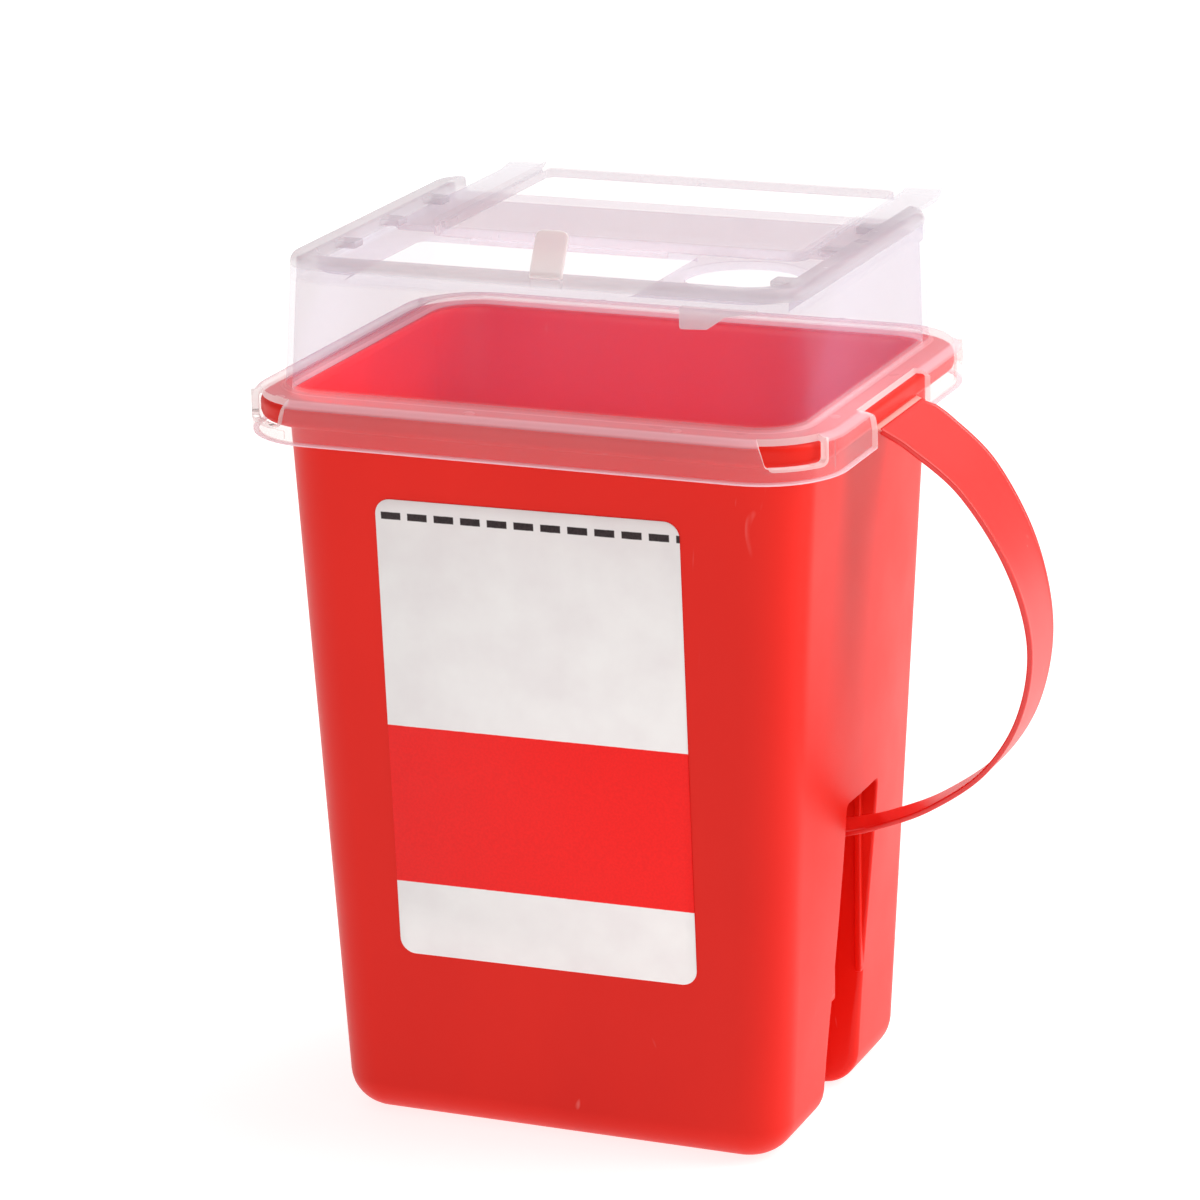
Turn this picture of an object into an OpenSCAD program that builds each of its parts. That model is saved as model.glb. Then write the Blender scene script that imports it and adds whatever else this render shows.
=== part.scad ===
/* [Tub] */
// Outer width of the tub at its base
tub_base_w = 89.8; // [88:0.1:92]
// Outer depth of the tub at its base
tub_base_d = 71.1; // [69:0.1:73]
// Outer width of the tub just under its rim
tub_top_w = 103; // [102:0.1:104]
// Outer depth of the tub just under its rim
tub_top_d = 81.2; // [80:0.1:82]
// Corner radius of the tub at its base
tub_base_r = 8.8; // [8:0.1:10]
// Corner radius of the tub just under its rim
tub_top_r = 11; // [10:0.1:12]
// Rounding between the walls and the base
tub_fillet = 7; // [5:0.5:7.5]
// Outward bow of the right wall at mid height
wall_bow = 2; // [0.2:0.1:2.4]
// Wall thickness of the tub
tub_wall = 1.6; // [1.2:0.1:2]
// Height of the top of the tub's rim
rim_z = 142; // [141:0.1:142.1]

/* [Handle channel] */
// Position of the channel's middle line across the right wall
chan_y = -0.8; // [-1:0.1:0]
// Height of the channel's ceiling
chan_top = 64; // [60:0.5:66]
// Distance of the channel's back wall from the middle of the tub
chan_back_x = 38.4; // [37:0.1:40]
// Half of the channel's width
chan_half = 8.4; // [8.3:0.1:8.8]
// Half of the gap between the two ribs
rib_half = 7.3; // [7.2:0.1:7.4]
// Distance of the ribs' outer faces from the middle of the tub
rib_x = 46.7; // [46.4:0.1:46.8]
// Height of the lower end of the ribs
rib_z = 24.6; // [20:0.5:30]

/* [Strap handle] */
// Thickness of the strap
strap_t = 1.1; // [0.9:0.1:1.3]
// Width of the strap at its hinge
strap_root_w = 25.6; // [25:0.1:26.4]
// Width of the strap at the middle of the loop
strap_mid_w = 12.4; // [11:0.1:14]
// Width of the strap's tail
strap_tail_w = 9.6; // [9:0.1:11]
// Width of the strap's head inside the channel
strap_head_w = 14; // [13:0.1:14.2]

/* [Lid] */
// Outer width of the lid's skirt
lid_w = 116; // [115.8:0.1:117]
// Outer depth of the lid's skirt
lid_d = 94.3; // [94.1:0.1:95]
// Corner radius of the skirt
lid_r = 15.9; // [15:0.1:17]
// Height of the skirt's lower edge
skirt_z = 135.2; // [134:0.1:137]
// Height of the top of the lid's flange
flange_z = 143.5; // [143.4:0.1:144]
// Width of the raised housing at its foot
dome_base_w = 103.2; // [102.6:0.1:104]
// Depth of the raised housing at its foot
dome_base_d = 82.1; // [81.5:0.1:83]
// Width of the raised housing at its top
dome_top_w = 101; // [100.6:0.1:101.6]
// Depth of the raised housing at its top
dome_top_d = 76.3; // [76:0.1:77]
// Height of the top of the raised housing
dome_z = 168.5; // [168.4:0.1:168.6]
// Wall thickness of the lid
lid_wall = 1.2; // [1:0.1:1.4]

/* [Sliding cover] */
// Width of the drop opening
drop_w = 55.5; // [50:0.5:56]
// Radius of the round hole
hole_r = 11; // [8:0.5:11]
// Thickness of the cover's plate
cover_t = 1.2; // [1:0.1:1.3]

/* [Lock tab] */
// Length of the lock tab
tab_len = 8.5; // [7:0.1:9]
// Width of the lock tab
tab_w = 6.3; // [5:0.1:7]
// Backward lean of the lock tab as moulded
tab_lean = 28; // [20:1:30]

/* [Label] */
// Width of the label
label_w = 60; // [40:1:64]
// Height of the label
label_h = 90; // [60:1:92]
// Thickness of the label film
label_t = 0.15; // [0.1:0.01:0.2]

/* [Hidden] */
e = 0.01;

// Size of the tub's outline at a height
function wz(z) = tub_base_w + (tub_top_w - tub_base_w) * z / skirt_z;
function dz(z) = tub_base_d + (tub_top_d - tub_base_d) * z / skirt_z;
function rz(z) = tub_base_r + (tub_top_r - tub_base_r) * z / skirt_z;
function bow(z) = wall_bow * pow(sin(180 * min(z, rim_z) / rim_z), 2);

// Rounded rectangle whose right side bows outwards by b, n steps a corner
function arc(cx, cy, r, a0, n) = [for (i = [0:n]) [cx + r * cos(a0 + 90 * i / n), cy + r * sin(a0 + 90 * i / n)]];
function ring(w, d, r, b, n = 8) = let (x = w / 2 - r, y = d / 2 - r) concat(
    arc(x, y, r, 0, n), arc(-x, y, r, 90, n),
    arc(-x, -y, r, 180, n), arc(x, -y, r, 270, n),
    [for (i = [1:7]) let (t = i / 4 - 1) [w / 2 + b * (1 - t * t), y * t]]);

module plate(w, d, r, z, b = 0, cy = 0, h = e, n = 8)
    translate([0, cy, z]) linear_extrude(h) polygon(ring(w, d, r, b, n));

// Solid body with the walls' outer shape, moved inwards by s and starting at height z0
module body_form(s, z0, top, f, n)
    hull() {
        for (a = [0:15:90]) let (i = s + f * (1 - sin(a)), z = z0 + f * (1 - cos(a)))
            plate(wz(z) - 2 * i, dz(z) - 2 * i, max(rz(z) - i, 1), z, bow(z), 0, e, n);
        for (z = [26, 44, 62, 80, 98, 120])
            plate(wz(z) - 2 * s, dz(z) - 2 * s, rz(z) - s, z, bow(z), 0, e, n);
        plate(wz(top) - 2 * s, dz(top) - 2 * s, rz(top) - s, top - e, 0, 0, e, n);
    }

module tub() color([0.86, 0.07, 0.08]) difference() {
    union() {
        difference() {
            union() {
                body_form(0, 0, rim_z, tub_fillet, 8);
                // rolled rim, open underneath
                difference() {
                    hull() {
                        plate(111.2, 89.5, 13.5, rim_z - 4);
                        plate(112.8, 91.1, 14.3, rim_z - 3.1);
                        plate(112.8, 91.1, 14.3, rim_z - 0.9);
                        plate(111.2, 89.5, 13.5, rim_z - e);
                    }
                    difference() {
                        plate(110.2, 88.5, 13, rim_z - 5, 0, 0, 3.8);
                        plate(103.2, 81.4, 10.8, rim_z - 6, 0, 0, 6);
                    }
                }
            }
            body_form(tub_wall, 1.8, rim_z + 1, 5.6, 7);
        }
        // housing of the handle channel, inside the right wall
        intersection() {
            body_form(0, 0, rim_z, tub_fillet, 8);
            translate([chan_back_x - 1.4, chan_y - chan_half - 1.4, -1]) cube([30, 2 * chan_half + 2.8, chan_top + 2.4]);
        }
    }
    // the channel itself, open to the right and at the bottom, with a rib along each side
    difference() {
        translate([chan_back_x, chan_y - chan_half, -2]) cube([30, 2 * chan_half, chan_top + 2]);
        for (m = [-1, 1]) translate([rib_x - 1.3, chan_y + m * (rib_half + 2) - 2, 0]) {
            translate([0, 0, rib_z + 0.65]) cube([1.3, 4, chan_top]);
            translate([0.65, 0, rib_z + 0.65]) rotate([-90, 0, 0]) cylinder(r = 0.65, h = 4, $fn = 24);
        }
    }
}

// Strap: middle line from the hinge, round the loop and into the channel
hinge = [57.3, 137.4];
strap_pts = [[52, 140.5], hinge, [62.8, 134.2], [72, 126.5], [80.3, 113], [84.1, 98], [82, 83.6], [75.2, 72.2], [64.8, 64], [55, 59.3], [47.3, 56.8], [42.4, 56], [40, 55.7]];
function spline(p0, p1, p2, p3, t) = 0.5 * (2 * p1 + (p2 - p0) * t + (2 * p0 - 5 * p1 + 4 * p2 - p3) * t * t + (3 * p1 - p0 - 3 * p2 + p3) * t * t * t);
strap_line = concat([for (k = [1:len(strap_pts) - 3], j = [0:4]) spline(strap_pts[k - 1], strap_pts[k], strap_pts[k + 1], strap_pts[k + 2], j / 5)], [strap_pts[len(strap_pts) - 2]]);
function unit(v) = v / norm(v);
function side(i) = let (a = strap_line[max(i - 1, 0)], b = strap_line[min(i + 1, len(strap_line) - 1)], u = unit(b - a)) [u[1], -u[0]];
module strap_profile(t)
    polygon(concat([for (i = [0:len(strap_line) - 1]) strap_line[i] + side(i) * t / 2],
                   [for (i = [len(strap_line) - 1:-1:0]) strap_line[i] - side(i) * t / 2]));
// half width and sideways place of the strap against height
function strap_half(z) = lookup(z, [[57, strap_tail_w], [64, strap_tail_w + 0.5], [79, strap_mid_w - 0.4], [92, strap_mid_w],
    [105, strap_mid_w + 3], [117, strap_mid_w + 6.8], [129, strap_root_w - 3.4], [137, strap_root_w]]) / 2;
function strap_mid(z) = lookup(z, [[57, chan_y], [hinge[1], 0.8]]);

module strap_handle() color([0.93, 0.14, 0.12]) union() {
    intersection() {
        translate([0, 20, 0]) rotate([90, 0, 0]) linear_extrude(40) strap_profile(strap_t);
        translate([30, 0, 0]) rotate([90, 0, 90]) linear_extrude(70)
            polygon(concat([for (z = [150:-3:51]) [strap_mid(z) + strap_half(z), z]], [for (z = [51:3:150]) [strap_mid(z) - strap_half(z), z]]));
    }
    // rolled edge at the hinge and head bar at the tail
    translate([hinge[0], 0.8, hinge[1]]) rotate([90, 0, 0]) cylinder(r = strap_t / 2, h = strap_root_w, center = true, $fn = 32);
    translate([42.4, chan_y, 56]) rotate([90, 0, 0]) cylinder(r = 1.5, h = strap_head_w, center = true, $fn = 32);
}

module label() color([0.95, 0.94, 0.93])
    translate([0, -tub_base_d / 2, 0]) rotate([atan((tub_top_d - tub_base_d) / 2 / skirt_z), 0, 0])
        translate([-0.6, -0.02, 80.2]) rotate([0, -0.65, 0]) rotate([90, 0, 0]) linear_extrude(label_t) polygon(ring(label_w, label_h, 3, 0));

// Raised housing, moved inwards by s, from height z0 to z1, with its top edge rounded by f
function dk(z) = (z - flange_z) / (dome_z - flange_z);
function dw(z) = dome_base_w + (dome_top_w - dome_base_w) * dk(z);
function dd(z) = dome_base_d + (dome_top_d - dome_base_d) * dk(z);
function dr(z) = 9.7 - 2.9 * dk(z);
function dc(z) = 1.05 * dk(z);
module dome_form(s, z0, z1, f)
    hull() {
        plate(dw(z0) - 2 * s, dd(z0) - 2 * s, dr(z0) - s, z0, 0, dc(z0));
        for (a = [0:30:90]) let (z = z1 - e - f * (1 - cos(90 - a)), i = s + f * (1 - cos(a)))
            plate(dw(z) - 2 * i, dd(z) - 2 * i, max(dr(z) - i, 1), z, 0, dc(z));
    }

edge_r = 2.3;
floor_z = 165;
front_in = -35.3;
drop_x = -37.5;
hole_at = [32, -14];
rail_x = 46;
tab_at = [2.85, -37.6, dome_z - 0.2];

module lid() color([0.92, 0.9, 0.93, 0.55]) difference() {
    union() {
        // skirt and flange
        difference() {
            hull() {
                plate(lid_w, lid_d, lid_r, skirt_z);
                for (a = [0:22.5:90]) let (i = edge_r * (1 - cos(a)))
                    plate(lid_w - 2 * i, lid_d - 2 * i, lid_r - i, flange_z - e - edge_r * (1 - sin(a)));
            }
            plate(lid_w - 2.2, lid_d - 2.2, lid_r - 1.1, skirt_z - 1, 0, 0, rim_z + 0.15 - skirt_z + 1);
            plate(dw(flange_z) - 2 * lid_wall, dd(flange_z) - 2 * lid_wall, dr(flange_z) - lid_wall, 130, 0, 0, 20);
        }
        difference() {
            dome_form(0, rim_z + 0.15, dome_z, 1.7);
            dome_form(lid_wall, rim_z - 2, floor_z - 1.2, 0.6);
            // hollow under each side rail
            for (s = [-1, 1]) translate([s * 48.2 - 1, -33, floor_z - 3]) cube([2, 70, 5.2]);
            // sunk track for the cover, open at the back
            translate([0, 26, floor_z]) linear_extrude(10) polygon(ring(2 * rail_x, 2 * (26 - front_in), 7, 0));
        }
        // raised ring around the round hole
        translate([hole_at[0], hole_at[1], floor_z - 0.6]) cylinder(r = hole_r + 1.5, h = 0.75, $fn = 64);
        // tabs that hold the cover down
        for (y = [-26, 0, 20]) translate([42, y - 2, floor_z + 1.8]) cube([4.6, 4, 1.3]);
        for (y = [-20, 0, 20]) translate([-46.6, y - 2, floor_z + 1.8]) cube([4.6, 4, 1.3]);
        // pad behind the lock tab and lug under its hinge
        translate([-3.1, front_in - 1, floor_z - 1.2]) cube([8.8, 1.3, 4]);
        translate([tab_at[0] - tab_w / 2, tab_at[1] - 0.3, tab_at[2] - 2.7]) cube([tab_w, 2, 2]);
        // needle unwinder under the plate
        translate([0, -33.6, 0]) rotate([90, 0, 0]) linear_extrude(1.4)
            polygon([[27.3, 164], [27.3, 160.2], [28, 159.6], [32.4, 160], [33, 160.6], [36, 162.4], [42, 163.6], [42, 164]]);
    }
    // drop opening and round hole
    translate([drop_x + drop_w / 2, (front_in + 0.3) / 2, 150]) linear_extrude(30) polygon(ring(drop_w, 0.3 - front_in, 2, 0, 4));
    translate([hole_at[0], hole_at[1], 150]) cylinder(r = hole_r, h = 30, $fn = 64);
    // windows at the four corners of the skirt
    for (sx = [-1, 1], sy = [-1, 1]) difference() {
        translate([sx > 0 ? 46.6 : -66.6, sy > 0 ? 38.3 : -58.3, skirt_z + 3.2]) cube([20, 20, 20]);
        plate(lid_w - 3.8, lid_d - 3.8, lid_r - 1.9, skirt_z, 0, 0, 20);
    }
    // cut-out for the strap
    difference() {
        translate([50, -15.4, skirt_z - 1]) cube([20, 30, 20]);
        plate(lid_w - 5, lid_d - 5, lid_r - 2.5, skirt_z - 2, 0, 0, 30);
    }
}

cov_l = -36.2;
cov_r = 38.8;
cov_f = -1.5;
cov_b = 56;
cov_z = floor_z + 0.3;
runner_x = 45.6;
bend_y = 54.5;

// Side runner: flat under the lid's tabs, bent up into a pull tab at the rear. m is its side
module runner(m, x0) {
    translate([0, 0, cov_z]) linear_extrude(1.1)
        polygon([[x0, 2], [m * (runner_x - 1.4), 2], [m * runner_x, 4], [m * runner_x, bend_y], [m * 37.8, bend_y], [x0, 53]]);
    translate([0, bend_y - 0.3, cov_z + 0.05]) rotate([15, 0, 0]) linear_extrude(1.05)
        polygon([[m * 37.8, 0], [m * runner_x, 0], [m * runner_x, 3.4], [m * 44.9, 7.6], [m * 43.3, 10.1], [m * 42.4, 10.1], [m * 38.5, 8.8], [m * 37.8, 7.7]]);
}

module slide_cover() color([0.93, 0.92, 0.96, 0.55]) union() {
    // plate with its front, rear and side walls
    difference() {
        translate([(cov_l + cov_r) / 2, (cov_f + cov_b) / 2, cov_z]) linear_extrude(dome_z - cov_z) polygon(ring(cov_r - cov_l, cov_b - cov_f, 3, 0, 6));
        translate([(cov_l + cov_r) / 2, (cov_f + cov_b) / 2, cov_z - 1]) linear_extrude(dome_z - cover_t - cov_z + 1) polygon(ring(cov_r - cov_l - 2.4, cov_b - cov_f - 2.4, 1.8, 0, 6));
    }
    // push ridge under the front lip
    translate([-28, cov_f + 0.1, floor_z - 0.9]) cube([40, 1, 1.6]);
    // side runners, each with a pull tab
    runner(1, cov_r - 1);
    runner(-1, cov_l + 1);
}

module lock_tab() color([0.95, 0.94, 0.96, 0.6])
    translate(tab_at) rotate([-tab_lean, 0, 0]) union() {
        rotate([90, 0, 0]) translate([0, 0, -0.5]) linear_extrude(1)
            polygon([[-tab_w / 2, 0], [tab_w / 2, 0], [tab_w / 2, tab_len - 1.6], [tab_w / 2 - 0.5, tab_len - 0.5], [tab_w / 2 - 1.6, tab_len], [1.6 - tab_w / 2, tab_len], [0.5 - tab_w / 2, tab_len - 0.5], [-tab_w / 2, tab_len - 1.6]]);
        rotate([0, 90, 0]) cylinder(r = 0.5, h = tab_w, center = true, $fn = 32);
    }

tub();
label();
strap_handle();
lid();
slide_cover();
lock_tab();
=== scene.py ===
import math

import bmesh
import bpy
import numpy as np
from mathutils import Matrix, Vector


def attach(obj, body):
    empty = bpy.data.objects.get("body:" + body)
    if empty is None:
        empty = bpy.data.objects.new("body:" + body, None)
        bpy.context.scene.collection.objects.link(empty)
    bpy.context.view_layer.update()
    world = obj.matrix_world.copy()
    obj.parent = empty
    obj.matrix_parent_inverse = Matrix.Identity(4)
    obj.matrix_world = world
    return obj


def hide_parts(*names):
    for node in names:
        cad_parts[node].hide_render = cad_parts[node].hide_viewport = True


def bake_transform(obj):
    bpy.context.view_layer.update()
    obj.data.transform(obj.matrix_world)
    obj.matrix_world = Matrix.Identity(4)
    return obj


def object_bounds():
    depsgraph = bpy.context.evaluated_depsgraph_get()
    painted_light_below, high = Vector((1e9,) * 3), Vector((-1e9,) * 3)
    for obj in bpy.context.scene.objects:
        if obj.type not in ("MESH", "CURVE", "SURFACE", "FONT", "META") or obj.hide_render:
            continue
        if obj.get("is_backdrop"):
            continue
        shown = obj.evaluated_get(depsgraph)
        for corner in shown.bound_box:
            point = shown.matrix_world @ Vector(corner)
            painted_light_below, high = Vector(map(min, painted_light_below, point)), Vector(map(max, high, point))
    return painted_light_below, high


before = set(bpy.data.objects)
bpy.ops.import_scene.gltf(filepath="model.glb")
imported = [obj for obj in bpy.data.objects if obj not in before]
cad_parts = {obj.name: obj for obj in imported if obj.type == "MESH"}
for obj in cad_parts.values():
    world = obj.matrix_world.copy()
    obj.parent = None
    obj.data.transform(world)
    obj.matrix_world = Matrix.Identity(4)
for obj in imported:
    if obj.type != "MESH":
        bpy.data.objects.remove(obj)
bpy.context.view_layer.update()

scene = bpy.context.scene
MM = 0.001


# ---------------------------------------------------------------- geometry helpers (millimetres)
def ring(w, d, r, z, b=0.0, cx=0.0, cy=0.0, n=10, m=(14, 4, 4, 4)):
    """Rounded rectangle seen from above, anticlockwise from the right side. The right side bows out by b."""
    x, y = w / 2 - r, d / 2 - r
    pts = []
    for i in range(1, m[0]):
        t = 2 * i / m[0] - 1
        pts.append((w / 2 + b * (1 - t * t), y * t))
    for (sx, sy, a0, k) in ((1, 1, 0, 1), (-1, 1, 90, 2), (-1, -1, 180, 3), (1, -1, 270, None)):
        for i in range(n + 1):
            a = math.radians(a0 + 90 * i / n)
            pts.append((sx * x + r * math.cos(a), sy * y + r * math.sin(a)))
        if k:
            for i in range(1, m[k]):
                t = 1 - 2 * i / m[k]
                pts.append(((x * t, d / 2), (-w / 2, y * t), (-x * t, -d / 2))[k - 1])
    return [(cx + px, cy + py, z) for px, py in pts]


def obj_from(name, verts, faces):
    me = bpy.data.meshes.new(name)
    me.from_pydata([(v[0] * MM, v[1] * MM, v[2] * MM) for v in verts], [], faces)
    bm = bmesh.new()
    bm.from_mesh(me)
    bmesh.ops.recalc_face_normals(bm, faces=bm.faces)
    bm.to_mesh(me)
    bm.free()
    ob = bpy.data.objects.new(name, me)
    scene.collection.objects.link(ob)
    return ob


def loft(name, rings, fan=False):
    """Closed body through rings of equally many points, with a cap at either end. With fan the caps join mirrored points."""
    n = len(rings[0])
    verts = [p for r in rings for p in r]
    faces = []
    for k in range(len(rings) - 1):
        a, b = k * n, (k + 1) * n
        for i in range(n):
            j = (i + 1) % n
            faces.append((a + i, a + j, b + j, b + i))
    last = (len(rings) - 1) * n
    if fan:
        for i in range(n // 2 - 1):
            faces.append((i, i + 1, n - 2 - i, n - 1 - i))
            faces.append((last + n - 1 - i, last + n - 2 - i, last + i + 1, last + i))
    else:
        faces.append(tuple(reversed(range(n))))
        faces.append(tuple(range(last, last + n)))
    return obj_from(name, verts, faces)


def tube(name, rings):
    """Closed ring of rings, like a torus."""
    n = len(rings[0])
    verts = [p for r in rings for p in r]
    faces = []
    for k in range(len(rings)):
        a, b = k * n, ((k + 1) % len(rings)) * n
        for i in range(n):
            j = (i + 1) % n
            faces.append((a + i, a + j, b + j, b + i))
    return obj_from(name, verts, faces)


def circle(r, z, cx=0.0, cy=0.0, n=72):
    return [(cx + r * math.cos(2 * math.pi * i / n), cy + r * math.sin(2 * math.pi * i / n), z) for i in range(n)]


def box(name, x0, x1, y0, y1, z0, z1, r=0.3, rv=None):
    """Box with all its edges rounded by about r, and its upright edges by rv."""
    rv = r if rv is None else rv
    w, d, cx, cy = x1 - x0, y1 - y0, (x0 + x1) / 2, (y0 + y1) / 2
    rings = []
    for z, s in ((z0, -1), (z1, 1)):
        part = []
        for a in (0, 30, 60, 90):
            i = r * (1 - math.sin(math.radians(a)))
            zz = z - s * r * (1 - math.cos(math.radians(a)))
            part.append(ring(w - 2 * i, d - 2 * i, max(rv - i, 0.02), zz, 0, cx, cy, 4, (2, 2, 2, 2)))
        rings += part if s < 0 else part[::-1]
    return loft(name, rings)


def round_poly(pts, radii, n=5):
    """Polygon with its corners rounded."""
    out = []
    for k, p in enumerate(pts):
        p = np.array(p, float)
        a = np.array(pts[k - 1], float) - p
        b = np.array(pts[(k + 1) % len(pts)], float) - p
        la, lb = np.linalg.norm(a), np.linalg.norm(b)
        a, b = a / la, b / lb
        r = radii[k] if hasattr(radii, "__len__") else radii
        half = math.acos(max(-1, min(1, float(a @ b)))) / 2
        c = min(max(r, 0.02) / math.tan(half), 0.45 * la, 0.45 * lb)
        q0, q1 = p + a * c, p + b * c
        for i in range(n + 1):
            t = i / n
            out.append(tuple((1 - t) ** 2 * q0 + 2 * t * (1 - t) * p + t * t * q1))
    return out


def inset_corners(pts, i):
    """Corners of the anticlockwise polygon with every side moved inwards by i."""
    p = np.array(pts, float)
    e = np.roll(p, -1, 0) - p
    e /= np.linalg.norm(e, axis=1)[:, None]
    nrm = np.stack([e[:, 1], -e[:, 0]], 1)
    mit = nrm + np.roll(nrm, 1, 0)
    mit /= np.maximum((mit * nrm).sum(1), 0.35)[:, None]
    return p - mit * i


def prism(name, corners, radii, place, t0, t1, r=0.25, n=5):
    """Outline with rounded corners, extruded from t0 to t1 with its long edges rounded. place(u, v, t) gives the point."""
    pts = np.array(corners, float)
    radii = list(radii) if hasattr(radii, "__len__") else [radii] * len(pts)
    area = 0.5 * np.sum(pts[:, 0] * np.roll(pts[:, 1], -1) - np.roll(pts[:, 0], -1) * pts[:, 1])
    if area < 0:
        pts, radii = pts[::-1], radii[::-1]
    rings = []
    for s in (0, 1):
        for a in ((0, 30, 60, 90) if s == 0 else (90, 60, 30, 0)):
            i = r * (1 - math.sin(math.radians(a)))
            d = r * (1 - math.cos(math.radians(a)))
            poly = round_poly(inset_corners(pts, i), [max(q - i, 0.03) for q in radii], n)
            rings.append([place(u, v, t0 + d if s == 0 else t1 - d) for u, v in poly])
    return loft(name, rings)


def boolean(a, tools, op):
    for b in tools:
        m = a.modifiers.new("cut", "BOOLEAN")
        m.object, m.operation, m.solver = b, op, "EXACT"
        dg = bpy.context.evaluated_depsgraph_get()
        me = bpy.data.meshes.new_from_object(a.evaluated_get(dg))
        a.modifiers.clear()
        a.data = me
        bpy.data.objects.remove(b)
    return a


def edge_faces(ob):
    """Marks a cutter's faces, so that the cut faces take the second material."""
    for m in ("a", "b"):
        ob.data.materials.append(bpy.data.materials.get("mark_" + m) or bpy.data.materials.new("mark_" + m))
    for f in ob.data.polygons:
        f.material_index = 1
    return ob


def finish_mesh(ob, angle=32, weighted=True):
    bm = bmesh.new()
    bm.from_mesh(ob.data)
    bmesh.ops.remove_doubles(bm, verts=bm.verts, dist=2e-6)
    bmesh.ops.dissolve_degenerate(bm, edges=bm.edges, dist=1e-6)
    bmesh.ops.recalc_face_normals(bm, faces=bm.faces)
    bm.to_mesh(ob.data)
    bm.free()
    ob.data.shade_smooth()
    ob.data.set_sharp_from_angle(angle=math.radians(angle))
    if weighted:
        m = ob.modifiers.new("normals", "WEIGHTED_NORMAL")
        m.keep_sharp = True
    return ob


def piece(ob, body, mat, node=None, edge=None):
    if edge:                                  # the face numbers of the cuts stay as they are
        ob.data.materials[0] = mat
        ob.data.materials[1] = edge
    else:
        ob.data.materials.clear()
        ob.data.materials.append(mat)
    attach(ob, body)
    if node:
        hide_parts(node)
    return ob


# ---------------------------------------------------------------- material helpers
class Nodes:
    def __init__(self, name):
        self.mat = bpy.data.materials.new(name)
        self.mat.use_nodes = True
        self.nt = self.mat.node_tree
        self.nt.nodes.clear()
        self.out = self.add("ShaderNodeOutputMaterial")

    def add(self, kind, **values):
        n = self.nt.nodes.new(kind)
        for k, v in values.items():
            if k in ("inputs",):
                for s, x in v.items():
                    n.inputs[s].default_value = x
            else:
                setattr(n, k, v)
        return n

    def link(self, a, b):
        self.nt.links.new(a, b)

    def coords(self):
        return self.add("ShaderNodeTexCoord").outputs["Object"]

    def noise(self, vec, scale, detail=3.0, rough=0.5, distortion=0.0, stretch=None):
        if stretch:
            mp = self.add("ShaderNodeMapping")
            mp.inputs["Scale"].default_value = stretch
            self.link(vec, mp.inputs["Vector"])
            vec = mp.outputs["Vector"]
        n = self.add("ShaderNodeTexNoise", inputs={"Scale": scale, "Detail": detail, "Roughness": rough, "Distortion": distortion})
        self.link(vec, n.inputs["Vector"])
        return n.outputs["Fac"]

    def ramp(self, fac, stops, interp="LINEAR"):
        r = self.add("ShaderNodeValToRGB")
        r.color_ramp.interpolation = interp
        while len(r.color_ramp.elements) < len(stops):
            r.color_ramp.elements.new(0.5)
        for el, (p, c) in zip(r.color_ramp.elements, stops):
            el.position = p
            el.color = c if hasattr(c, "__len__") else (c, c, c, 1)
        self.link(fac, r.inputs["Fac"])
        return r.outputs["Color"]

    def math(self, op, a, b=None, c=None, clamp=False):
        n = self.add("ShaderNodeMath", operation=op, use_clamp=clamp)
        for i, v in enumerate((a, b, c)):
            if v is None:
                continue
            if isinstance(v, (int, float)):
                n.inputs[i].default_value = v
            else:
                self.link(v, n.inputs[i])
        return n.outputs[0]

    def mix(self, fac, a, b, kind="MIX"):
        n = self.add("ShaderNodeMix", data_type="RGBA", blend_type=kind)
        for s, v in ((n.inputs[0], fac), (n.inputs[6], a), (n.inputs[7], b)):
            if hasattr(v, "is_linked"):
                self.link(v, s)
            elif hasattr(v, "__len__"):
                s.default_value = v
            else:
                s.default_value = v
        return n.outputs[2]

    def bump(self, height, strength, distance=0.0002, normal=None):
        n = self.add("ShaderNodeBump", inputs={"Strength": strength, "Distance": distance})
        self.link(height, n.inputs["Height"])
        if normal is not None:
            self.link(normal, n.inputs["Normal"])
        return n.outputs["Normal"]


def srgb(r, g, b):
    f = lambda c: (c / 255 / 12.92) if c / 255 <= 0.04045 else ((c / 255 + 0.055) / 1.055) ** 2.4
    return (f(r), f(g), f(b), 1.0)


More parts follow.
